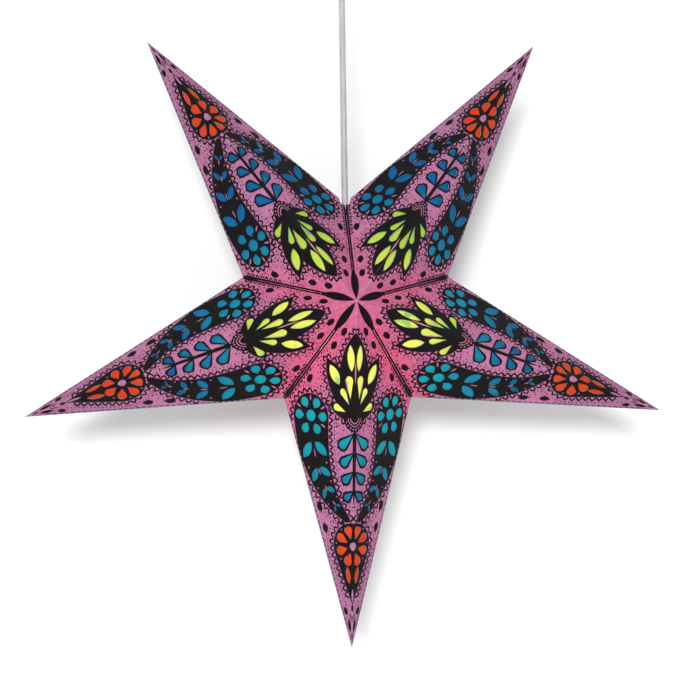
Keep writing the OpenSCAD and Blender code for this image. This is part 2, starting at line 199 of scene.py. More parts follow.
def make_paper():
    """Pink handmade paper: long fibres, cloudy colour, a patchy painted highlight along the ridges, a grey-blue line
    at the outer folds, a warm glow near the lamp and painted shade away from it.
    """
    paper = Finish("printed_paper", Specular_IOR_Level=0.2)
    clouds = paper.noise(14, 2).fade(0.62, 0.38)
    mottle = paper.noise(230, 5, 0.65).fade(0.64, 0.4)
    patches = paper.noise(300, 2).fade(0.7, 0.35)
    fibres = paper.noise(240, 5, 0.6, paper.stretched(7))
    valley, ridge, fold = paper.drawn("flat", 0), paper.drawn("flat", 1), paper.drawn("fold", 0)
    glow = lamp_glow(paper, 45 * MM, 150 * MM) * (valley.fade(4 * MM, 36 * MM) * 0.75 + 0.25)
    base = paper.mix(clouds * 0.6, MAUVE, LILAC)
    # Painted shade: the paper turns duskier the farther it lies from the lamp.
    base = paper.mix(lamp_glow(paper, 130 * MM, 290 * MM), SHADE_FAR_FROM_LAMP, base)
    base = paper.mix(glow, base, ROSE)
    base = paper.mix(mottle * 0.3, base, BERRY)
    # Painted highlight: a patchy paler line along each ridge.
    base = paper.mix(ridge.fade(0.5 * MM, 1.1 * MM) * patches * 0.5, base, RIDGE_HIGHLIGHT)
    base = paper.mix(fold.fade(0.5 * MM, 1.5 * MM) * (patches * 0.4 + 0.45), base, FOLD_BLUE)
    light = paper.mix(glow ** 1.5, UNLIT, HOT_RED)
    relief = paper.bump(paper.noise(26, 2), 0.6, 2.2 * MM)
    relief = paper.bump(paper.noise(95, 3), 0.5, 0.5 * MM, relief)
    relief = paper.bump(fibres, 0.5, 0.14 * MM, relief)
    paper.shader.inputs["Emission Strength"].default_value = 0.24
    return paper.set(Base_Color=base, Emission_Color=light, Normal=relief, Roughness=0.7 + mottle * 0.15)


def make_edge_paper():
    """The cut edge and the reverse of the sheet, which is turquoise."""
    edge = Finish("paper_reverse", Roughness=0.85)
    tint = edge.mix(edge.noise(220, 3).fade(0.65, 0.4), TURQUOISE, DEEP_TURQUOISE)
    return edge.set(Base_Color=tint, Normal=edge.bump(edge.noise(400, 3), 0.3, 0.1 * MM))


def make_ink():
    """Black print that the paper's fibres show through, with a painted warm glow near the lamp."""
    ink = Finish("black_print", Specular_IOR_Level=0.14)
    fibres = ink.noise(520, 5, 0.65, ink.stretched(5))
    tint = ink.mix(fibres.fade(0.8, 0.58), INK, THIN_INK)
    # Painted light: the print turns warmer near the lamp, as if the lamp shone through it.
    tint = ink.mix(lamp_glow(ink, 40 * MM, 120 * MM) * 0.25, tint, INK_LIT_BY_LAMP)
    return ink.set(Base_Color=tint, Normal=ink.bump(fibres, 0.5, 0.15 * MM), Roughness=0.5 + fibres * 0.3)


def make_tissue(name, outer, inner, patch, far):
    """Dyed tissue with the lamp behind it: from the outer colour at the distance far to the inner one near
    the lamp. Here and there a neighbouring patch lies behind it and tints it."""
    tissue = Finish(name, Roughness=0.7, Specular_IOR_Level=0.12)
    glow = lamp_glow(tissue, 60 * MM, far)
    crinkle = tissue.noise(70, 4, 0.6)
    fibres = tissue.noise(650, 3)
    tint = tissue.mix(glow, outer, inner)
    tint = tissue.mix(tissue.noise(38, 2).fade(0.68, 0.6) * 0.6, tint, patch)
    shade = tissue.mix(0.25, tint, UNLIT)
    mottled = tissue.mix(fibres.fade(0.62, 0.38) * 0.35 + crinkle.fade(0.7, 0.4) * 0.25, tint, shade)
    # Painted light: the tissue glows in its own colours, as if the lamp lit it evenly from behind.
    tissue.shader.inputs["Emission Strength"].default_value = 0.34
    return tissue.set(Base_Color=mottled, Emission_Color=mottled, Normal=tissue.bump(crinkle, 0.4, 0.8 * MM))


def make_plastic(name, tint, rough, grain):
    """Moulded plastic with a faint grain and a slow drift of colour."""
    plastic = Finish(name, Roughness=rough)
    dull = plastic.mix(0.12, tint, UNLIT)
    drift = plastic.mix(plastic.noise(18, 2).fade(0.68, 0.36), tint, dull)
    fine = plastic.noise(900, 2)
    return plastic.set(Base_Color=drift, Roughness=rough + plastic.noise(60, 3) * 0.12,
                       Normal=plastic.bump(fine, grain, 0.05 * MM))


def make_bulb(neck_z):
    """Opal glass that is lit from inside, and a plated screw cap above its neck."""
    bulb = Finish("bulb_opal", Roughness=0.3)
    height = bulb.node("ShaderNodeSeparateXYZ", None, {0: bulb.place()}, 2)
    cap = height.fade(neck_z + 0.5 * MM, neck_z - 0.5 * MM)
    scuffs = bulb.noise(340, 4)
    base = bulb.mix(cap, colour(250, 244, 228), colour(186, 182, 172))
    light = bulb.mix(cap, colour(255, 236, 200), UNLIT)
    bulb.shader.inputs["Emission Strength"].default_value = 1.5
    return bulb.set(Base_Color=base, Emission_Color=light, Metallic=cap, Roughness=0.3 + scuffs * 0.2 * cap)


def make_cable_sheath():
    """Grey flexible sheath with fine marks along it."""
    sheath = Finish("cable_sheath", Roughness=0.45)
    streaks = sheath.noise(700, 3, 0.6, sheath.stretched(0.08))
    tint = sheath.mix(streaks.fade(0.7, 0.35), colour(180, 181, 183), colour(198, 199, 201))
    return sheath.set(Base_Color=tint, Normal=sheath.bump(streaks, 0.2, 0.1 * MM), Roughness=0.4 + streaks * 0.15)


# The ornament, drawn flat on one facet in millimetres. The real axis runs from the peak along the
# ridge and the imaginary axis across, so that a turn is a product.
DRAWN_RIDGE, DRAWN_NOTCH = 326, complex(102, 85)
VALLEY = cmath.phase(DRAWN_NOTCH)
FOLD = cmath.phase(DRAWN_NOTCH - DRAWN_RIDGE)
VALLEY_DEGREES = math.degrees(VALLEY)


def direction(degrees):
    return cmath.rect(1, math.radians(degrees))


def placed(points, at, degrees):
    return [at + p * direction(degrees) for p in points]


def spaced(start, end, count):
    return [start + (end - start) * i / (count - 1) for i in range(count)]


def leaf(at, length, width, degrees, steps=9):
    """An almond shape round its middle."""
    radius = (length * length + width * width) / (4 * width)
    low = [complex(x, radius - width / 2 - math.sqrt(radius * radius - x * x))
           for x in spaced(-length / 2, length / 2, steps)]
    return placed(low + [p.conjugate() for p in low[-2:0:-1]], at, degrees)


def drop(at, length, width, degrees, steps=13):
    """A round-ended drop from its pointed end."""
    radius = width / 2
    reach = length - radius
    sweep = math.pi - math.acos(radius / reach)
    return placed([0] + [reach + cmath.rect(radius, a) for a in spaced(-sweep, sweep, steps)], at, degrees)


def disc(at, diameter, steps=16):
    return [at + cmath.rect(diameter / 2, a) for a in spaced(0, 2 * math.pi, steps + 1)[:-1]]


def arc_band(at, inner, outer, start, end, steps=12):
    """A stretch of a ring, between two directions in degrees."""
    out = [at + outer * direction(a) for a in spaced(start, end, steps)]
    back = [at + inner * direction(a) for a in spaced(end, start, steps)]
    return out + back


# The bud near the tip
FLOWER_AT, FLOWER_EYE = 229, 7
TIP_WINDOWS = [drop(FLOWER_AT + FLOWER_EYE * direction(a), 13.5, 9, a) for a in (22.5, 67.5, 112.5, 157.5)]
TIP_WINDOWS += [leaf(257 + 5.4j, 17, 5.4, -10)]

# The feather
EYE_R, FEATHER_END, RIM = 21, 3.6, 2.2
FEATHER = [113 + 52j, 176 + 49j, 204 + 8j]


def feather_spine(t):
    return (1 - t) ** 2 * FEATHER[0] + 2 * t * (1 - t) * FEATHER[1] + t * t * FEATHER[2]


def feather_heading(t):
    return math.degrees(cmath.phase((1 - t) * (FEATHER[1] - FEATHER[0]) + t * (FEATHER[2] - FEATHER[1])))


def feather_half(t):
    return EYE_R - (EYE_R - FEATHER_END) * t ** 1.4


def feather_outline(grow=0.0, steps=21):
    sides = {way: [feather_spine(t) + (feather_half(t) + grow) * direction(feather_heading(t) + 90 * way)
                   for t in spaced(0, 1, steps)] for way in (-1, 1)}
    tip = [FEATHER[2] + (FEATHER_END + grow) * direction(feather_heading(1) + a) for a in (-45, 0, 45)]
    eye = [FEATHER[0] + (EYE_R + grow) * direction(feather_heading(0) + a) for a in spaced(100, 260, 17)]
    return sides[-1] + tip + sides[1][::-1] + eye


def around_eye(reach, turn):
    return FEATHER[0] + reach * direction(feather_heading(0) + turn)


EYE_TURNS = [30 + 60 * i for i in range(6)]
EYE_WINDOWS = [disc(FEATHER[0], 11)]
EYE_WINDOWS += [drop(around_eye(8.2, a), EYE_R - 8.2 - RIM, 9, feather_heading(0) + a) for a in EYE_TURNS]
FEATHER_LEAVES = []
for t in (0.25 + 0.59 * (i / 3) ** 0.9 for i in range(4)):
    size = feather_half(t) - RIM
    for way in (-1, 1):
        FEATHER_LEAVES.append(leaf(feather_spine(t) + 0.53 * size * direction(feather_heading(t) + way * 76),
                                   1.12 * size, 0.55 * size, feather_heading(t) + way * 42))

# The fern on the ridge
FERN_SHARES = [i / 3 for i in range(4)]


def fern_leaf(share, rim):
    root = 124 + 54 * share + 2.4j - 1.6 * rim * direction(46)
    return drop(root, 20 - 9 * share + 2.6 * rim, 8.46 - 1.98 * share + 2 * rim, 46)


FERN_WINDOWS = [fern_leaf(share, 0) for share in FERN_SHARES]
FERN_FIELDS = [fern_leaf(share, RIM) for share in FERN_SHARES] + [[118, 192, 178 + 1.6j, 124 + 2.4j]]

# The lotus towards the peak, and the banded cup that it stands in
LOTUS_AT = 107
LOTUS_LEAVES = [(180, -3, 78, 36), (146, -5, 61, 25), (106, -4, 31, 15)]


def lotus_leaf(lean, start, end, width, grow=0.0):
    middle = LOTUS_AT + (start + end) / 2 * direction(lean)
    return leaf(middle, end - start + 2.4 * grow, width + 2 * grow, lean, 17)


LOTUS_FIELDS = [lotus_leaf(*petal) for petal in LOTUS_LEAVES]
LOTUS_WINDOWS = [
    leaf(LOTUS_AT + 53.5 * direction(180) + 5.6j, 25, 8.5, 175.5),
    leaf(LOTUS_AT + 43.5 * direction(146), 21, 10, 146),
    drop(LOTUS_AT + 15 * direction(180) + 5.6j, 22, 8.5, 175.5),
    drop(LOTUS_AT + 12 * direction(146), 17, 7, 146),
    drop(LOTUS_AT + 11 * direction(106), 15, 7, 106)]
CUP = [arc_band(108, 0.1, 13.5, -1, 84)]
CUP_BARE = [arc_band(108, 4.6, 5.8, -1, 80), arc_band(108, 7.6, 8.6, -1, 80)]
CUP_BARE += [disc(108 + 11 * direction(a), 1.9, 8) for a in (8, 26, 44, 62)]



def bud(grow=0.0, steps=27):
    return drop(285 + 2.2 * grow, 78 + 3.3 * grow, 46 + 2 * grow, 180, steps)


BUD_FIELD = bud()

def from_valley(along, inside):
    """A place near the valley, by its distance from the peak and its distance into the facet."""
    return cmath.rect(1, VALLEY) * complex(along, -inside)


def from_fold(along, inside):
    """A place near the outer fold, by its distance from the tip and its distance into the facet."""
    return DRAWN_RIDGE + cmath.rect(1, FOLD) * complex(along, inside)


SEEDS = [leaf(complex(198, 48.57 - 8), 10, 6, -21), leaf(complex(217, 41.36 - 8), 10, 6, -21),
         leaf(complex(30, 14), 10, 6, 40), leaf(complex(44, 25.67), 10, 6, 40), leaf(complex(78, 54), 10, 6, 40),
         leaf(292 + 7.7j, 8, 4.4, -21), leaf(305 + 2.9j, 13, 3.4, -9)]
VALLEY_LEAVES = [leaf(from_valley(21, 0), 38, 8, VALLEY_DEGREES, 13),
                 leaf(from_valley(124, 0), 20, 5, VALLEY_DEGREES, 9)]
WINDOWS = TIP_WINDOWS + EYE_WINDOWS + FEATHER_LEAVES + FERN_WINDOWS + LOTUS_WINDOWS
FIELDS = [BUD_FIELD, feather_outline()] + FERN_FIELDS + LOTUS_FIELDS + CUP + SEEDS + VALLEY_LEAVES
BARE = CUP_BARE + [disc(FLOWER_AT, 8), leaf(FLOWER_AT + 47, 14, 2.4, 0)]
BARE += [leaf(around_eye(EYE_R - 4.2, a + 30), 6.5, 1.8, feather_heading(0) + a + 30) for a in (90, 150, 210, 270)]
BARE += [leaf(feather_spine(t), 11 - 7 * t, 1.3, feather_heading(t)) for t in (0.3, 0.47, 0.64, 0.8)]
BARE += [leaf(LOTUS_AT - 41, 22, 1.8, 180), leaf(LOTUS_AT + 28 * direction(163) + 1.4j, 16, 1.5, 163)]
BARE += [disc(FLOWER_AT + 19.8 * direction(a), 1.7, 8) for a in (45, 90, 135)]
BARE += [disc(feather_spine(t) + way * 0.72 * feather_half(t) * direction(feather_heading(t) + 90), 2.4 - 1.2 * t, 8)
         for t in (0.41, 0.6, 0.77) for way in (-1, 1)]
TIP_MARKS = [[complex(u, 0), complex(u - 3.4, 2.6), complex(u - 2.6, 3.4), complex(u + 1.1, 0)]
             for u in (297, 300)]
TIP_MARKS += [leaf(288 + 0j, 7, 3, 0), leaf(315 + 0j, 8, 1.6, 0)]


def holds(outline, p):
    """Whether a closed outline goes round a point."""
    inside = False
    for a, b in zip(outline, outline[1:] + outline[:1]):
        if (a.imag > p.imag) != (b.imag > p.imag):
            if p.real < a.real + (p.imag - a.imag) / (b.imag - a.imag) * (b.real - a.real):
                inside = not inside
    return inside


def valley_room(p):
    """How far a point lies inside the facet's valley."""
    return -(p * cmath.rect(1, -VALLEY)).imag


def fold_room(p):
    """How far a point lies inside the facet's outer fold."""
    return ((p - DRAWN_RIDGE) * cmath.rect(1, -FOLD)).imag


LEAST_RUN = 6


def open_runs(outline, blocked, room, shut=True):
    """The stretches of an outline on bare paper, clear of the blocked shapes and of the facet's edges."""
    def is_free(p):
        inside = p.imag > 0.9 and min(valley_room(p), fold_room(p)) > room
        return inside and not any(holds(shape, p) for shape in blocked)

    dense = []
    ends = outline[1:] + outline[:1] if shut else outline[1:]
    for a, b in zip(outline, ends):
        dense += [a + (b - a) * i / 4 for i in range(4)]
    free = [is_free(p) for p in dense]
    if shut and not all(free):
        first = free.index(False)
        dense, free = dense[first:] + dense[:first], free[first:] + free[:first]
    runs, run = [], []
    for p, good in zip(dense + [0], free + [False]):
        if good:
            run.append(p)
        elif run:
            if len(run) > LEAST_RUN:
                runs.append(run)
            run = []
    return runs


# The repeated lace, made by one node tree
def motif_row_tree():
    """Repeats a small flat motif along a path and turns it to follow the path."""
    tree = bpy.data.node_groups.new("motif_row", "GeometryNodeTree")
    for label, kind in (("Geometry", "Geometry"), ("Motif", "Object"), ("Spacing", "Float"), ("Size", "Float"),
                        ("Unevenness", "Float"), ("Material", "Material")):
        tree.interface.new_socket(label, in_out="INPUT", socket_type="NodeSocket" + kind)
    tree.interface.new_socket("Geometry", in_out="OUTPUT", socket_type="NodeSocketGeometry")
    nodes, link = tree.nodes, tree.links.new
    given, result = nodes.new("NodeGroupInput"), nodes.new("NodeGroupOutput")
    steps = nodes.new("GeometryNodeResampleCurve")
    steps.mode = "LENGTH"
    link(given.outputs["Geometry"], steps.inputs["Curve"])
    link(given.outputs["Spacing"], steps.inputs["Length"])
    turn = nodes.new("FunctionNodeAlignRotationToVector")
    turn.axis = "X"
    link(nodes.new("GeometryNodeInputTangent").outputs[0], turn.inputs["Vector"])
    motif = nodes.new("GeometryNodeObjectInfo")
    link(given.outputs["Motif"], motif.inputs["Object"])
    vary = nodes.new("FunctionNodeRandomValue")
    vary.data_type = "FLOAT"
    vary.inputs["Seed"].default_value = 7
    least = nodes.new("ShaderNodeMath")
    least.operation = "SUBTRACT"
    least.inputs[0].default_value = 1.0
    link(given.outputs["Unevenness"], least.inputs[1])
    link(least.outputs[0], vary.inputs[2])
    vary.inputs[3].default_value = 1.0
    scaled = nodes.new("ShaderNodeMath")
    scaled.operation = "MULTIPLY"
    link(given.outputs["Size"], scaled.inputs[0])
    link(vary.outputs[1], scaled.inputs[1])
    stamp = nodes.new("GeometryNodeInstanceOnPoints")
    link(steps.outputs[0], stamp.inputs["Points"])
    link(motif.outputs["Geometry"], stamp.inputs["Instance"])
    link(turn.outputs[0], stamp.inputs["Rotation"])
    link(scaled.outputs[0], stamp.inputs["Scale"])
    real = nodes.new("GeometryNodeRealizeInstances")
    link(stamp.outputs[0], real.inputs[0])
    inked = nodes.new("GeometryNodeSetMaterial")
    link(real.outputs[0], inked.inputs["Geometry"])
    link(given.outputs["Material"], inked.inputs["Material"])
    link(inked.outputs[0], result.inputs[0])
    return tree


ROW_TREE = motif_row_tree()


def motif_object(name, outlines, bands=()):
    """A flat motif of filled outlines and of bands, each a pair of edges with as many points."""
    verts, faces = [], []
    for outline in outlines:
        faces.append(tuple(range(len(verts), len(verts) + len(outline))))
        verts += outline
    for inner, outer in bands:
        first, n = len(verts), len(inner)
        verts += inner + outer
        faces += [(first + i, first + i + 1, first + n + i + 1, first + n + i) for i in range(n - 1)]
    mesh = bpy.data.meshes.new(name)
    mesh.from_pydata([(p.real * MM, p.imag * MM, 0) for p in map(complex, verts)], [], faces)
    made = bpy.data.objects.new(name, mesh)
    scene.collection.objects.link(made)
    return made


def row_of(motif, paths, *, spacing, size=1.0, unevenness=0.1):
    """The flat corners and faces of a motif repeated along paths, in millimetres."""
    curve = bpy.data.curves.new("row_path", "CURVE")
    curve.dimensions = "3D"
    for path in paths:
        spline = curve.splines.new("POLY")
        spline.points.add(len(path) - 1)
        for corner, p in zip(spline.points, path):
            corner.co = (p.real * MM, p.imag * MM, 0, 1)
    holder = bpy.data.objects.new("row_path", curve)
    scene.collection.objects.link(holder)
    modifier = holder.modifiers.new("row", "NODES")
    modifier.node_group = ROW_TREE
    values = {"Motif": motif, "Spacing": spacing * MM, "Size": size, "Unevenness": unevenness, "Material": INKED}
    for item in ROW_TREE.interface.items_tree:
        if item.in_out == "INPUT" and item.name in values:
            modifier[item.identifier] = values[item.name]
    mesh = bpy.data.meshes.new_from_object(holder.evaluated_get(bpy.context.evaluated_depsgraph_get()))
    flat = [complex(v.co.x, v.co.y) / MM for v in mesh.vertices]
    faces = [tuple(f.vertices) for f in mesh.polygons]
    bpy.data.objects.remove(holder)
    bpy.data.meshes.remove(mesh)
    return flat, faces


LOOP_IN, LOOP_OUT = 1.6, 3.3


def arch(radius):
    """A pointed arch over its middle."""
    turns = spaced(-0.3, math.pi + 0.3, 11)
    return [radius * complex(math.cos(t), 1.1 * math.sin(t) + 0.3 * (1 - abs(math.cos(t))) ** 2) for t in turns]


def borders(grow):
    """The outlines of the large black fields, grown."""
    return [bud(grow, 41), feather_outline(grow, 41)] + [lotus_leaf(*petal, grow) for petal in LOTUS_LEAVES]


def lace():
    """Loops with dots outside them round the black fields, stitches along the folds and rows of beads."""
    loop = motif_object("loop", [], [(arch(LOOP_OUT), arch(LOOP_IN))])
    dot = motif_object("dot", [disc(0, 1.6, 8)])
    stitch = motif_object("stitch", [[-1.9 - 0.5j, 1.9 - 0.5j, 1.9 + 0.5j, -1.9 + 0.5j]])
    solids = [BUD_FIELD, feather_outline(1.2)] + FERN_FIELDS + CUP
    solids += [lotus_leaf(*petal, 1.2) for petal in LOTUS_LEAVES] + SEEDS + TIP_MARKS
    clear = solids + borders(5.2)

    outward = [border[::-1] for border in borders(1.2)]
    loops = [run for border in outward for run in open_runs(border, solids_without(border, solids), 4.8)]
    near_dots = [run for border in borders(7.2) for run in open_runs(border, clear, 3.2)]
    far_dots = [run for border in borders(10.2) for run in open_runs(border, clear + borders(9.4), 3.2)]
    edge = [from_fold(a, 1.6) for a in spaced(22, 224, 40)]
    seam = [from_valley(a, 1.1) for a in spaced(34, 128, 40)]
    hem = open_runs([from_valley(a, 2.0) for a in spaced(126, 88, 40)], solids, 1.5, False)
    beads = open_runs([from_valley(a, 4.4) for a in spaced(40, 120, 24)], clear, 3.0, False)
    rows = [row_of(loop, loops, spacing=6.2),
            row_of(dot, near_dots, spacing=3.5, size=1.05, unevenness=0.3),
            row_of(dot, far_dots, spacing=6.4, size=1.25, unevenness=0.4),
            row_of(stitch, [edge], spacing=5.4, size=0.9),
            row_of(stitch, [seam], spacing=2.6, size=1.8, unevenness=0.3),
            row_of(loop, hem, spacing=5.2, size=0.7),
            row_of(dot, beads, spacing=3.9, size=0.8, unevenness=0.3)]
    for motif in (loop, dot, stitch):
        bpy.data.objects.remove(motif)
    return rows


def solids_without(border, solids):
    """The shapes that a border row keeps off: all but the one that it runs round."""
    middle = sum(border) / len(border)
    return [shape for shape in solids if not holds(border, sum(shape) / len(shape)) or not holds(shape, middle)]


# The sheets. The flat facet is cut by the outlines into triangles, over a grid that lets it bend
GRID = 7


def facet_triangles(extra_holes=()):
    """The facet's flat corners, its triangles of paper, and those of them that are printed."""
    groups = [("facet", [[0, DRAWN_RIDGE, DRAWN_NOTCH]]), ("window", WINDOWS + list(extra_holes)),
              ("ink", FIELDS + TIP_MARKS), ("bare", BARE)]
    verts, faces, kinds = [], [], []
    for kind, shapes in groups:
        for shape in shapes:
            if signed_area(shape) < 0:
                shape = shape[::-1]
            faces.append(list(range(len(verts), len(verts) + len(shape))))
            verts += [complex(p) for p in shape]
            kinds.append(kind)
    for i in range(1, DRAWN_RIDGE // GRID):
        for j in range(0, 13):
            p = complex((i + j % 2 / 2) * GRID, j * GRID)
            if j == 0 or min(valley_room(p), fold_room(p)) > 2:
                verts.append(p)
    for a, b in ((0, DRAWN_NOTCH), (DRAWN_NOTCH, DRAWN_RIDGE)):
        verts += [a + (b - a) * s for s in spaced(0, 1, int(abs(b - a) / GRID))[1:-1]]
    made = geometry.delaunay_2d_cdt([Vector((p.real, p.imag)) for p in verts], [], faces, 0, 1e-5, True)
    flat, triangles, origins = made[0], made[2], made[5]
    paper, ink = [], []
    for triangle, origin in zip(triangles, origins):
        over = {kinds[k] for k in origin}
        if "facet" not in over or "window" in over:
            continue
        paper.append(tuple(triangle))
        if "ink" in over and "bare" not in over:
            ink.append(tuple(triangle))
    return [complex(*p) for p in flat], paper, ink


def signed_area(shape):
    pairs = zip(shape, shape[1:] + shape[:1])
    return sum((complex(a).conjugate() * complex(b)).imag for a, b in pairs) / 2


def raised(flat, faces):
    """A thin layer: the faces at the ink's height, with walls down from their edges but not on the ridge."""
    used = sorted({i for f in faces for i in f})
    index = {old: new for new, old in enumerate(used)}
    corners = [(flat[i], INK_T) for i in used]
    tops = [tuple(index[i] for i in f) for f in faces]
    sides = {}
    for f in tops:
        for a, b in zip(f, f[1:] + f[:1]):
            sides[(a, b)] = sides.get((a, b), 0) + 1
    feet, walls = {}, []
    for a, b in sides:
        if (b, a) in sides or max(corners[a][0].imag, corners[b][0].imag) < 1e-6:
            continue
        for i in (a, b):
            if i not in feet:
                feet[i] = len(corners)
                corners.append((corners[i][0], 0.0))
        walls.append((b, a, feet[a], feet[b]))
    return corners, tops + walls


# The length of the open seam on the flat sheet
SEAM_L = 132


class Facet:
    """One of a point's four facets, and where its flat corners go in the star."""

    def __init__(self, number, side, front):
        angle = SECTOR / 2 + SECTOR * number
        outward = Vector((math.sin(angle), 0, math.cos(angle)))
        across = Vector((math.cos(angle), 0, -math.sin(angle))) * side
        self.peak = centre + Vector((0, -peak * front, 0))
        self.u = (centre + outward * tip_r - self.peak).normalized()
        notch = centre + (outward * math.cos(SECTOR / 2) + across * math.sin(SECTOR / 2)) * notch_r - self.peak
        self.v = notch - self.u * notch.dot(self.u)
        self.notch_v = self.v.length
        self.v.normalize()
        self.out = self.u.cross(self.v)
        self.flipped = self.out.dot(self.peak + notch * 0.5 - centre) < 0
        if self.flipped:
            self.out = -self.out
        self.seed = number * 4 + (side > 0) * 2 + (front > 0)
        self.number, self.side = number, side
        self.lifts = number == 0 and side < 0

    def at_open_seam(self):
        return (self.number, self.side) in ((0, -1), (len(POINTS) - 1, 1))

    def bow(self, p):
        """How far the paper stands off its plane, at a drawn place: a shallow crown and slow waves."""
        c = p.imag / DRAWN_NOTCH.imag
        b = (p.real - c * DRAWN_NOTCH.real) / DRAWN_RIDGE
        a = 1 - b - c
        crown = max(0.0, 27 * a * b * c)
        wave = noise.noise(Vector((p.real * 0.03, p.imag * 0.03, self.seed * 3.7)))
        height = (0.45 + 0.4 * wave) * crown * MM
        if self.lifts:
            along = (p * cmath.rect(1, -VALLEY)).real / SEAM_L
            height += 1.1 * MM * math.exp(-valley_room(p) / 7) * math.sin(math.pi * min(max(along, 0), 1))
        return height

    def fold(self, p):
        """Where a drawn place lies on the facet in the star."""
        u, v = p.real * ridge_l / DRAWN_RIDGE, p.imag * self.notch_v / DRAWN_NOTCH.imag
        return self.peak + self.u * u + self.v * v + self.out * self.bow(p)


def facets_of(number):
    return [Facet(number, side, front) for front in (1, -1) for side in (-1, 1)]


def step_off(planes, height):
    """The step that stands off every plane by the height."""
    if len(planes) == 1:
        return planes[0] * height
    return Vector(np.linalg.lstsq(np.array(planes), np.full(len(planes), height), rcond=None)[0])


def folded_piece(name, parts, materials, thickness=0.0):
    """A mesh of flat parts on their facets. A part is a facet, corners as places and heights, and faces.
    Corners that meet at a fold become one, which keeps its height off both facets."""
    planes, known, corners, faces = {}, {}, [], []
    for facet, spots, shapes in parts:
        here = {}
        for i in {i for f in shapes for i in f}:
            place = facet.fold(spots[i][0])
            base = tuple(round(c / WELD) for c in place)
            if all(facet.out.dot(n) < 0.999 for n in planes.setdefault(base, [])):
                planes[base].append(facet.out)
            key = (base, spots[i][1])
            if key not in known:
                known[key] = len(corners)
                corners.append((place, base, *spots[i]))
            here[i] = known[key]
        faces += [tuple(here[i] for i in (reversed(f) if facet.flipped else f)) for f in shapes]
    verts = [place + step_off(planes[base], height) for place, base, _, height in corners]
    inner_from = len(faces)
    if thickness:
        count = len(verts)
        verts += [place + step_off(planes[base], height - thickness) for place, base, _, height in corners]
        sides = {side for f in faces for side in zip(f, f[1:] + f[:1])}
        rims = [(b, a, a + count, b + count) for a, b in sides if (b, a) not in sides]
        faces += [tuple(i + count for i in reversed(f)) for f in faces] + rims
    mesh = bpy.data.meshes.new(name)
    mesh.from_pydata(verts, [], faces)
    flat, fold = mesh.uv_layers.new(name="flat"), mesh.uv_layers.new(name="fold")
    for loop in mesh.loops:
        p = corners[loop.vertex_index % len(corners)][2]
        flat.data[loop.index].uv = (valley_room(p) * MM, p.imag * MM)
        fold.data[loop.index].uv = (fold_room(p) * MM, 0)
    for material in materials:
        mesh.materials.append(material)
    if thickness:
        mesh.polygons.foreach_set("material_index", [0] * inner_from + [1] * (len(faces) - inner_from))
    mesh.polygons.foreach_set("use_smooth", [True] * len(faces))
    mesh.set_sharp_from_angle(angle=math.radians(25))
    piece = bpy.data.objects.new(name, mesh)
    scene.collection.objects.link(piece)
    return piece


def cable_hole(facet):
    """The round hole for the cable at the top notch, as it falls on a facet's flat sheet."""
    hole = []
    for rim in disc(0, CABLE_HOLE_D, 24):
        start = Vector((rim.real, rim.imag, centre.z)) - facet.peak
        spot = start - Vector((0, 0, start.dot(facet.out) / facet.out.z))
        hole.append(complex(spot.dot(facet.u) * DRAWN_RIDGE / ridge_l,
                            spot.dot(facet.v) * DRAWN_NOTCH.imag / facet.notch_v))
    return hole


FLAP_START, FLAP_END, FLAP_W, FLAP_BEVEL = 16, 121, 6.7, 6
FLAP = [from_valley(FLAP_START, 0.2), from_valley(FLAP_START + FLAP_BEVEL, FLAP_W),
        from_valley(FLAP_END - FLAP_BEVEL, FLAP_W), from_valley(FLAP_END, 0.2)]


def make_points():
    """The five folded sheets and the print on each."""
    plain = facet_triangles()
    at_seam = {}
    rows = lace()
    for number, name in enumerate(POINTS):
        sheets, prints = [], []
        for facet in facets_of(number):
            if facet.at_open_seam() and facet.side not in at_seam:
                at_seam[facet.side] = facet_triangles([cable_hole(facet)])
            flat, paper, ink = at_seam[facet.side] if facet.at_open_seam() else plain
            sheets.append((facet, [(p, 0.0) for p in flat], paper))
            prints.append((facet, *raised(flat, ink)))
            prints += [(facet, *raised(*row)) for row in rows]
        for front in (1, -1):
            under = Facet((number + 1) % len(POINTS), -1, front)
            under.lifts = False
            sheets.append((under, [(p, -PAPER_T - GLUE) for p in FLAP], [(0, 1, 2, 3)]))
        piece = folded_piece("paper_" + name, sheets, [PAPER, PAPER_REVERSE], PAPER_T)
        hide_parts("point_" + name)
        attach(piece, "root")
        printed = folded_piece("ornament_" + name, prints, [INKED])
        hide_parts("print_" + name)
        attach(printed, "root")


def make_cable():
    """The pendant cable, taut from the lamp holder to the ceiling rose."""
    low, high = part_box("cable")
    route = [(0, 0, z) for z in spaced(low[2], high[2], 15)]
    curve = bpy.data.curves.new("pendant_cable", "CURVE")
    curve.dimensions = "3D"
    spline = curve.splines.new("POLY")
    spline.points.add(len(route) - 1)
    for corner, place in zip(spline.points, route):
        corner.co = (*place, 1)
    curve.bevel_depth = CABLE_D / 2
    curve.bevel_resolution = 4
    curve.use_fill_caps = True
    curve.materials.append(make_cable_sheath())
    cable = bpy.data.objects.new("pendant_cable", curve)
    scene.collection.objects.link(cable)
    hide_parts("cable")
    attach(cable, "root")


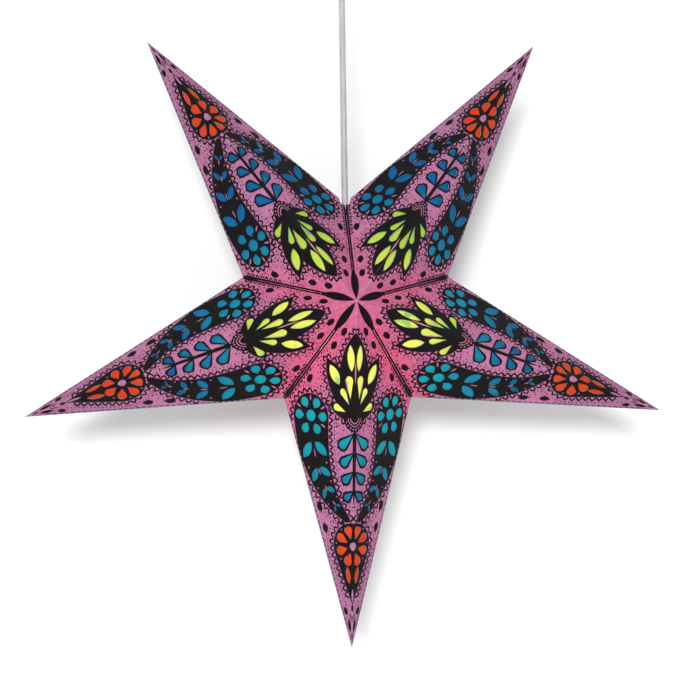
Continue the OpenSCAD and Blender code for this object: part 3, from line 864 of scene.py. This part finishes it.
def finish_nodes():
    """Materials for the CAD pieces that stay."""
    neck_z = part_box("holder_shell")[0][2] - 3 * MM
    white = make_plastic("rose_plastic", colour(240, 240, 238), 0.3, 0.15)
    cream = make_plastic("terminal_plastic", colour(226, 218, 196), 0.35, 0.2)
    grey = make_plastic("holder_plastic", colour(222, 222, 222), 0.28, 0.12)
    ceramic = make_plastic("socket_ceramic", colour(236, 232, 222), 0.2, 0.3)
    looks = {"holder_cap": grey, "holder_shell": grey, "cord_grip": grey, "rose_cover": white, "rose_plate": white,
             "terminal_block": cream, "holder_insert": ceramic, "bulb": make_bulb(neck_z)}
    orange, deep_orange, red = colour(228, 78, 32), colour(196, 58, 20), colour(214, 42, 20)
    aqua, deep_blue, sea_green = colour(18, 150, 164), colour(2, 88, 142), colour(20, 140, 120)
    yellow, lime, leaf_green = colour(234, 230, 100), colour(160, 190, 56), colour(60, 166, 96)
    tissues = {"tip": make_tissue("orange_tissue", deep_orange, orange, red, 240 * MM),
               "feather": make_tissue("blue_tissue", deep_blue, aqua, sea_green, 180 * MM),
               "lotus": make_tissue("yellow_tissue", lime, yellow, leaf_green, 135 * MM)}
    for name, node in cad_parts.items():
        if "_tissue_" in name:
            looks[name] = tissues[name.split("_")[0]]
        if name in looks:
            for slot in node.material_slots:
                slot.material = looks[name]


# The wall, the floor and the lights
def wall_paint():
    """White paint, a little lighter to the camera, and clear from behind so that the back can be seen."""
    plain = bpy.data.materials.new("wall_paint")
    plain.use_nodes = True
    tree = plain.node_tree
    paint = tree.nodes["Principled BSDF"]
    paint.inputs["Base Color"].default_value = colour(250, 250, 250)
    paint.inputs["Roughness"].default_value = 0.9
    paint.inputs["Emission Color"].default_value = (1, 1, 1, 1)
    seen, lift = tree.nodes.new("ShaderNodeLightPath"), tree.nodes.new("ShaderNodeMath")
    lift.operation = "MULTIPLY"
    lift.inputs[1].default_value = 0.09
    tree.links.new(seen.outputs["Is Camera Ray"], lift.inputs[0])
    tree.links.new(lift.outputs[0], paint.inputs["Emission Strength"])
    behind, clear = tree.nodes.new("ShaderNodeNewGeometry"), tree.nodes.new("ShaderNodeBsdfTransparent")
    choose = tree.nodes.new("ShaderNodeMixShader")
    tree.links.new(behind.outputs["Backfacing"], choose.inputs[0])
    tree.links.new(paint.outputs[0], choose.inputs[1])
    tree.links.new(clear.outputs[0], choose.inputs[2])
    tree.links.new(choose.outputs[0], tree.nodes["Material Output"].inputs[0])
    return plain


def make_backdrop():
    """A wall close behind the star that curves into the floor."""
    wall_y, wall_top, floor_z, reach, cove = 115 * MM, 4.0, centre.z - tip_r - 0.9, 40.0, 0.6
    profile = [(wall_y, wall_top), (wall_y, floor_z + cove)]
    profile += [(wall_y - cove + cove * math.cos(a), floor_z + cove - cove * math.sin(a))
                for a in spaced(0.2, math.pi / 2, 8)]
    profile.append((wall_y - reach, floor_z))
    verts = [(x, y, z) for x in (-reach, reach) for y, z in profile]
    n = len(profile)
    faces = [(i, i + 1, n + i + 1, n + i) for i in range(n - 1)]
    mesh = bpy.data.meshes.new("backdrop")
    mesh.from_pydata(verts, [], faces)
    mesh.materials.append(wall_paint())
    mesh.polygons.foreach_set("use_smooth", [True] * len(mesh.polygons))
    backdrop = bpy.data.objects.new("backdrop", mesh)
    scene.collection.objects.link(backdrop)


def make_light():
    """A white world, dimmer as light than as seen, a soft key from the upper left and a fill from behind."""
    light_level, seen_level = 0.45, 1.0
    sky = bpy.data.worlds.new("studio")
    scene.world = sky
    sky.use_nodes = True
    nodes, link = sky.node_tree.nodes, sky.node_tree.links.new
    background, path, level = nodes["Background"], nodes.new("ShaderNodeLightPath"), nodes.new("ShaderNodeMapRange")
    background.inputs["Color"].default_value = (1, 1, 1, 1)
    level.inputs["To Min"].default_value = light_level
    level.inputs["To Max"].default_value = seen_level
    link(path.outputs["Is Camera Ray"], level.inputs["Value"])
    link(level.outputs["Result"], background.inputs["Strength"])
    suns = [("key", 1.85, (-0.18, -1.0, 0.16), 13.5), ("back_fill", 0.8, (0.3, 1.0, 0.4), 25)]
    for name, energy, place, spread in suns:
        lamp = bpy.data.lights.new(name, "SUN")
        lamp.energy = energy
        lamp.angle = math.radians(spread)
        light = bpy.data.objects.new(name, lamp)
        light.rotation_euler = Vector(place).to_track_quat("Z", "Y").to_euler()
        scene.collection.objects.link(light)
    for name in CEILING:
        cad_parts[name].visible_shadow = False


PAPER = make_paper()
PAPER_REVERSE = make_edge_paper()
INKED = make_ink()
place_camera()
make_cable()
make_points()
finish_nodes()
make_backdrop()
make_light()
